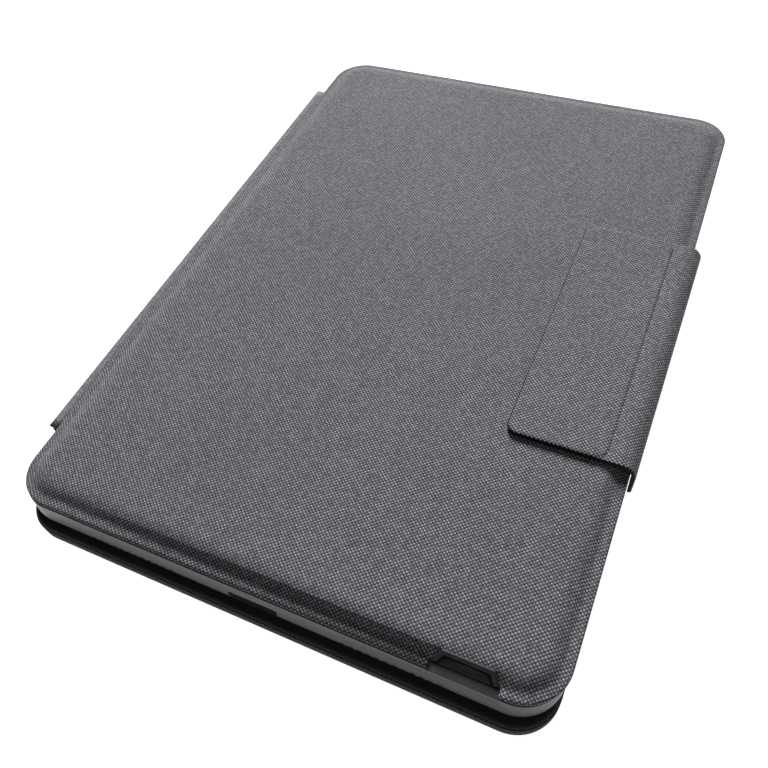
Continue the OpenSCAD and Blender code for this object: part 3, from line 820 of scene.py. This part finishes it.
def panel(name, lead, inset, top, bottom, edge_r, relief):
    """A soft panel along the flap's curve, from depth top to depth bottom.

    It keeps back by lead from the flap's inner edge and by inset from the other edges."""
    edge = [edge_r * t for t in (0.06, 0.2, 0.42, 0.7, 1.0)]
    edge += [k * MM for k in (1.0, 1.3, 1.6, 2.0, 2.6, 3.4)]
    length = flap_run - lead - inset
    half = flap_half - inset
    run = stations(length, edge, (PLATE_L - lead,), 1.5 * MM)
    across = stations(2 * half, edge, (), 4 * MM)
    points = []
    uvs = []
    for layer in (0, 1):
        for s in run:
            from_end = min(s, length - s)
            cut = rounded_off(FLAP_R, from_end)
            for place in across:
                y = (place - half) * (half - cut) / half
                depth = bottom
                if layer == 0:
                    roll = rounded_off(edge_r, min(from_end, half - cut - abs(y)))
                    pressed = flap_relief(s + lead, y) if relief else 0.0
                    depth = min(top + roll + pressed, bottom - THINNEST)
                x, z = on_flap(s + lead, depth, y)
                points.append(Vector((x, flap_y + y, z)))
                uvs.append((flap_face_low.x + s + lead, flap_y + y))
    n = len(across)
    rows = len(run)
    faces = []
    for layer in (0, 1):
        base = layer * rows * n
        for i in range(rows - 1):
            for k in range(n - 1):
                a = base + i * n + k
                quad = (a, a + 1, a + n + 1, a + n)
                faces.append(quad if layer == 0 else tuple(reversed(quad)))
    border = list(range(n))
    border += [i * n + n - 1 for i in range(1, rows)]
    border += [(rows - 1) * n + k for k in range(n - 2, -1, -1)]
    border += [i * n for i in range(rows - 2, 0, -1)]
    under = rows * n
    for a, b in zip(border, border[1:] + border[:1]):
        faces.append((a, b, under + b, under + a))
    piece = mesh_piece(name, points, faces, uvs, sharp=50)
    outward(piece)
    return piece


def flap():
    """The flap's woven cloth over its two plates, and its dark lining, whose edge showing past the cloth is partly
    painted shade along the flap's edges.
    """
    cloth = panel("flap_cloth", CLOTH_LEAD, CLOTH_IN, 0.0, FLAP_CLOTH_T, EDGE_R, True)
    dress(cloth, "flap_weave")
    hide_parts("flap_face_fabric", "flap_hinge_cloth", "flap_side_fabric")
    inner = FLAP_T - 0.02 * MM
    lining = panel("flap_backing", 0.0, 0.0, FLAP_CLOTH_T, inner, LINING_R, False)
    dress(lining, "lining")
    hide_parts("flap_side_lining")
    for piece in (cloth, lining):
        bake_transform(piece)


# ---- spine ----

spine_low, spine_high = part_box("spine_fabric")
lower_low, lower_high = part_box("lower_hinge_cloth")
spine_half = (spine_high.y - spine_low.y) / 2
SPINE_CLOTH_T = 0.5 * MM
SPINE_STAND = 0.4 * MM     # how far the cloth stands out past its board's covering
SPINE_TOP_R = 1.5 * MM     # outer radius of the bend at the rim
SPINE_FOOT_R = 1.0 * MM    # outer radius of the bend under the base

# The crease between the cover's rim and the spine: how far out from the cover's edge, and how far
# under the rim, in millimetres
CREASE = ((-0.7, 0.12), (0.1, 0.16), (0.45, 0.42), (0.8, 0.62), (1.15, 0.45), (1.6, 0.2),
          (2.3, 0.12))


def strip(name, profile, u_start, end_r=1.2 * MM, cells=52):
    """A strip of cloth along y with this outer profile in x and z, its outer corners rounded off.

    u_start is where it starts on the cloth, and it gives back where it ends."""
    points = []
    uvs = []
    u = u_start
    previous = profile[0]
    for x, z in profile:
        u += math.dist((x, z), previous)
        previous = (x, z)
        half = spine_half - rounded_off(end_r, x - spine_low.x + SPINE_STAND)
        for k in range(cells + 1):
            y = half * (2 * k / cells - 1)
            points.append(Vector((x, y, z)))
            uvs.append((u, y))
    n = cells + 1
    faces = [(i * n + k, i * n + k + 1, (i + 1) * n + k + 1, (i + 1) * n + k)
             for i in range(len(profile) - 1) for k in range(cells)]
    return mesh_piece(name, points, faces, uvs, sharp=60), u


def face_out(piece, out):
    """Turns the faces of an open strip so that they look along out on the whole."""
    total = sum(p.normal.dot(out) * p.area for p in piece.data.polygons)
    if total < 0:
        piece.data.flip_normals()


def spine():
    """The spine's cloth in two halves, one across each living hinge, and its lining."""
    out_x = spine_low.x - SPINE_STAND
    left_x = cover_low.x
    middle_z = (spine_low.z + spine_high.z) / 2
    bend_top = rim_z - CREASE[-1][1] * MM
    bend_low = bend_top - SPINE_TOP_R
    groove = [(left_x - out * MM, rim_z - under * MM) for out, under in CREASE]
    bend = arc((out_x + SPINE_TOP_R, bend_low), SPINE_TOP_R, 90, 180, 8)
    fall = [(out_x, z) for z in (bend_low - 1.5 * MM, middle_z + 2 * MM, middle_z)]
    above = groove + bend + fall
    upper, reached = strip("spine_cloth_upper", above, left_x)
    face_out(upper, Vector((-0.7, 0, 0.7)))

    low_z = lower_low.z
    foot_z = low_z + SPINE_FOOT_R
    drop = [(out_x, z) for z in (middle_z, middle_z - 2 * MM, foot_z + 1.2 * MM)]
    turn = arc((out_x + SPINE_FOOT_R, foot_z), SPINE_FOOT_R, 180, 270, 6)
    below = drop + turn + [(lower_high.x, low_z)]
    lower = strip("spine_cloth_lower", below, reached)[0]
    face_out(lower, Vector((-0.7, 0, -0.7)))

    for piece, profile in ((upper, above), (lower, below)):
        thicken(piece, SPINE_CLOTH_T)
        dress(piece, "spine_weave")
    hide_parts("spine_fabric", "upper_hinge_cloth")
    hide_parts("lower_hinge_cloth")
    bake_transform(upper)
    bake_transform(lower)
    lining = softened("spine_lining", 0.12 * MM, "spine_backing")
    dress(lining, "lining")
    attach(lining, "spine")


# ---- keyboard base ----

FRAME_IN = 0.3 * MM        # how far the frame keeps in from the cloth's outline
FRAME_W = 5 * MM           # width of the frame
FRAME_EDGE_R = 1.3 * MM    # roundness of its upper edge
FRAME_BREAK = 0.2 * MM     # the small flat on its inner edge
REBATE = 1.5 * MM          # how far the deck lies on the frame
PORT_GAP = 0.12 * MM       # room round the charging port
KNOB_GAP = 0.3 * MM        # room at the ends of the power switch's slot
KNOB_SIDE_GAP = 0.25 * MM  # room above and below the power switch


def stadium(half_w, half_h, steps=8):
    """A slot outline with round ends, in x and y."""
    points = []
    for side in (1, -1):
        for k in range(steps + 1):
            a = math.radians(-90 + 180 * k / steps) + (0 if side > 0 else math.pi)
            points.append((side * (half_w - half_h) + half_h * math.cos(a), half_h * math.sin(a)))
    return points


def side_hole(node, end_gap, side_gap, travel=0.0):
    """A cutter through the far side for a part that slides by travel along x."""
    low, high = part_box(node)
    middle = Vector(((low.x + high.x + travel) / 2, base_high.y, (low.z + high.z) / 2))
    outline = stadium((high.x - low.x + travel) / 2 + end_gap, (high.z - low.z) / 2 + side_gap)
    place = Matrix.Translation(middle) @ Matrix.Rotation(math.pi / 2, 4, "X")
    return prism(node + "_hole", outline, -9 * MM, 9 * MM, place)


def cut_side_holes(piece):
    """Opens a piece of the base for the charging port and the power switch."""
    travel = joint_named("power_switch_slide")["range_m"][1]
    port = side_hole("charging_port", PORT_GAP, PORT_GAP)
    slot = side_hole("power_switch_knob", KNOB_GAP, KNOB_SIDE_GAP, travel)
    combine(piece, port, "DIFFERENCE")
    combine(piece, slot, "DIFFERENCE")


def base_skin():
    """The woven cloth under the base and up its sides, as one closed shell."""
    top = (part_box("base_frame")[1].z - FRAME_EDGE_R - base_low.z) / MM
    thick = (FRAME_IN - 0.02 * MM) / MM
    outer = [(0.0, top - 0.12), (0.0, 3.5), (0.0, 1.0)]
    outer += arc((1.0, 1.0), 1.0, 180, 270, 6)[1:] + [(3.0, 0.0)]
    inner = [(3.0, thick)] + arc((1.0, 1.0), 1.0 - thick, 270, 180, 6)
    inner += [(thick, 3.5), (thick, top - 0.1), (0.12, top)]
    rings = [outline_ring(base_low, base_high, BASE_R, inset * MM, base_low.z + height * MM)
             for inset, height in inner + outer]
    uvs = skin_uvs(rings, outer[:1] * len(inner) + outer)
    skin = loft("base_skin", rings, uvs, first_cap=True, last_cap=True, sharp=60)
    cut_side_holes(skin)
    dress(skin, "base_weave")
    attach(skin, "base")
    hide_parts("base_fabric")


def base_frame():
    """The frame round the keyboard, with a soft upper edge and openings on the far side."""
    low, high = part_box("base_frame")
    deck_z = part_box("keyboard_deck")[0].z - 0.05 * MM
    ledge = FRAME_IN + FRAME_W - REBATE
    section = [(FRAME_IN + 0.25 * MM, low.z), (FRAME_IN, low.z + 0.25 * MM),
               (FRAME_IN, high.z - FRAME_EDGE_R)]
    for k in range(1, 7):
        a = math.radians(15 * k)
        section.append((FRAME_IN + FRAME_EDGE_R * (1 - math.cos(a)),
                        high.z - FRAME_EDGE_R * (1 - math.sin(a))))
    section += [(ledge - FRAME_BREAK, high.z), (ledge, high.z - FRAME_BREAK), (ledge, deck_z),
                (FRAME_IN + FRAME_W, deck_z), (FRAME_IN + FRAME_W, low.z)]
    rings = [outline_ring(base_low, base_high, BASE_R, inset, z) for inset, z in section]
    body = loft("base_frame_moulding", rings, closed=True, sharp=40)
    cut_side_holes(body)
    shade(body, 35)
    dress(body, "frame_plastic")
    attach(body, "base")
    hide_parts("base_frame")


# ---- keys ----

LETTER_SIZE = 3.6 * MM     # font size of a single letter
WORD_SIZE = 2.5 * MM       # font size of words and of doubled signs
INK_SUNK = 0.07 * MM       # how far the lettering's middle lies under the cap's highest point

# A keycap from its foot to the middle of its dish, in millimetres: how far in from its side, how
# high over its foot, and the corner radius there
KEYCAP_SECTION = ((0.15, 0.0, 1.0), (0.0, 0.15, 1.0), (0.0, 0.9, 1.0), (0.12, 1.35, 1.05),
                  (0.32, 1.72, 1.15), (0.6, 1.92, 1.25), (0.95, 2.0, 1.3), (1.6, 1.97, 1.4),
                  (2.6, 1.92, 1.5))

# What is printed on each node's keys, from left to right
LEGENDS = {
    "escape_key": ["esc"],
    "function_keys": ["F%d" % k for k in range(1, 13)] + ["home", "del"],
    "number_keys": ["~\n`"] + [a + "\n" + b for a, b in zip("!@#$%^&*()_+", "1234567890-=")],
    "backspace_key": ["back"],
    "tab_key": ["tab"],
    "upper_letter_keys": list("QWERTYUIOP") + ["{\n[", "}\n]"],
    "backslash_key": ["|\n\\"],
    "caps_lock_key": ["caps"],
    "home_letter_keys": list("ASDFGHJKL") + [":\n;", "\"\n'"],
    "return_key": ["return"],
    "left_shift_key": ["shift"],
    "lower_letter_keys": list("ZXCVBNM") + ["<\n,", ">\n.", "?\n/"],
    "right_shift_key": ["shift"],
    "modifier_keys": ["ctrl", "fn", "alt", "cmd", "cmd", "alt"],
    "space_bar": [""],
    "left_arrow_key": ["<"],
    "up_arrow_key": ["^"],
    "down_arrow_key": ["v"],
    "right_arrow_key": [">"],
}


def keycap(name, low, high):
    """A keycap with a rounded plan, soft shoulders and a shallow dish."""
    middle = (low + high) / 2
    half = (high - low) / 2
    rings = []
    for inset, height, radius in KEYCAP_SECTION:
        half_w = half.x - inset * MM
        half_l = half.y - inset * MM
        corner = min(radius * MM, 0.9 * half_w, 0.9 * half_l)
        rings.append(ring(middle.x, half_w, half_l, corner, low.z + height * MM, 5, middle.y))
    return loft(name, rings, first_cap=True, last_cap=True, sharp=50)


def legend_mesh(text, size, place):
    """Flat lettering for one keycap, read from the touchpad's side."""
    curve = bpy.data.curves.new("legend", "FONT")
    curve.body = text
    curve.size = size
    curve.align_x = "CENTER"
    curve.align_y = "CENTER"
    curve.space_line = 0.9
    curve.extrude = 0.01 * MM
    curve.resolution_u = 3
    letters = new_object("legend", curve)
    graph = bpy.context.evaluated_depsgraph_get()
    mesh = bpy.data.meshes.new_from_object(letters.evaluated_get(graph), depsgraph=graph)
    mesh.transform(Matrix.Translation(place) @ Matrix.Rotation(math.pi / 2, 4, "Z"))
    bpy.data.objects.remove(letters)
    return new_object("legend", mesh)


def legend_material():
    """Slightly worn light ink."""
    g = Graph("legend_print")
    worn = g.noise(g.place(), 1800.0, 3.0)
    return g.finish(Base_Color=g.mottle(worn, 0.5, 0.66), Roughness=0.6)


def keys():
    """Keycaps and their lettering, one piece of each for every key node."""
    ink = legend_material()
    bodies = frame["record"]["behaviour"]["bodies"]
    for node, labels in LEGENDS.items():
        body = next(name for name, nodes in bodies.items() if node in nodes)
        caps = []
        letters = []
        for (low, high), label in zip(solids(node), labels):
            caps.append(keycap("cap", low, high))
            if label:
                size = LETTER_SIZE if len(label) == 1 else WORD_SIZE
                place = Vector(((low.x + high.x) / 2, (low.y + high.y) / 2, high.z - INK_SUNK))
                letters.append(legend_mesh(label, size, place))
        cap = join(node + "_cap", caps)
        cap.data.set_sharp_from_angle(angle=math.radians(50))
        dress(cap, "keycap_plastic")
        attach(cap, body)
        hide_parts(node)
        if letters:
            print_piece = join(node + "_legend", letters)
            print_piece.data.materials.clear()
            print_piece.data.materials.append(ink)
            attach(print_piece, body)


def small_parts():
    """Hard parts whose CAD shape is right, with their edges rounded."""
    parts = (("touchpad", "touchpad_surface", "touchpad", 0.15),
             ("rubber_feet", "rubber", "base", 0.25),
             ("power_switch_knob", "surround_plastic", "power_switch", 0.1),
             ("status_lights", "light_lens", "base", 0.1),
             ("keyboard_deck", "deck_plastic", "base", 0.12))
    for node, slot, body, width in parts:
        piece = softened(node, width * MM)
        dress(piece, slot)
        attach(piece, body)


# ---- studio ----

CAMERA_AT = Vector((86.0, -180.1, 225.3)) * MM
CAMERA_TARGET = Vector((8.4, -48.8, 20.0)) * MM
CAMERA_ROLL = math.radians(-8.4)
CAMERA_LENS = 35.23


def camera():
    """The photograph's view, turned a little about the line of sight."""
    data = bpy.data.cameras.new("camera")
    data.lens = CAMERA_LENS
    data.clip_start = 0.01
    eye = new_object("camera", data)
    back = (CAMERA_AT - CAMERA_TARGET).normalized()
    level = Vector((0, 0, 1)).cross(back).normalized()
    right = level * math.cos(CAMERA_ROLL) + back.cross(level) * math.sin(CAMERA_ROLL)
    turn = Matrix((right, back.cross(right), back)).transposed().to_4x4()
    eye.matrix_world = Matrix.Translation(CAMERA_AT) @ turn
    bpy.context.scene.camera = eye


def soft_light(name, place, size, power):
    """A round lamp at a place, aimed at the object."""
    data = bpy.data.lights.new(name, "AREA")
    data.shape = "DISK"
    data.size = size
    data.energy = power
    lamp = new_object(name, data)
    lamp.location = place
    lamp.rotation_euler = (-Vector(place)).to_track_quat("-Z", "Y").to_euler()


def studio():
    """A glowing white table, a soft light low behind the spine's far end, and a weak fill."""
    floor = loft("floor", [ring(0, 4, 4, 0.5, 0.0)], last_cap=True)
    g = Graph("light_table")
    cloud = g.noise(g.place(), 12.0, 2.0)
    colour = g.mix(g.smooth(cloud, 0.2, 0.8), grey(0.5), grey(0.55))
    floor.data.materials.append(g.finish(Base_Color=colour, Roughness=0.9, Specular_IOR_Level=0.1,
                                         Emission_Color=grey(1.0), Emission_Strength=0.95))
    soft_light("key_light", (-1.4, 3.04, 2.09), size=1.75, power=462.0)
    soft_light("fill_light", (0.5, -0.7, 1.5), size=1.2, power=3.0)
    world = bpy.data.worlds.new("studio")
    world.use_nodes = True
    background = world.node_tree.nodes["Background"]
    background.inputs["Color"].default_value = (1.0, 1.0, 1.0, 1.0)
    background.inputs["Strength"].default_value = 0.08
    bpy.context.scene.world = world
    bpy.context.scene.view_settings.view_transform = "Standard"


camera()
dress_cad_nodes()
cover_skin()
tray()
power_button()
flap()
spine()
base_skin()
base_frame()
keys()
small_parts()
studio()
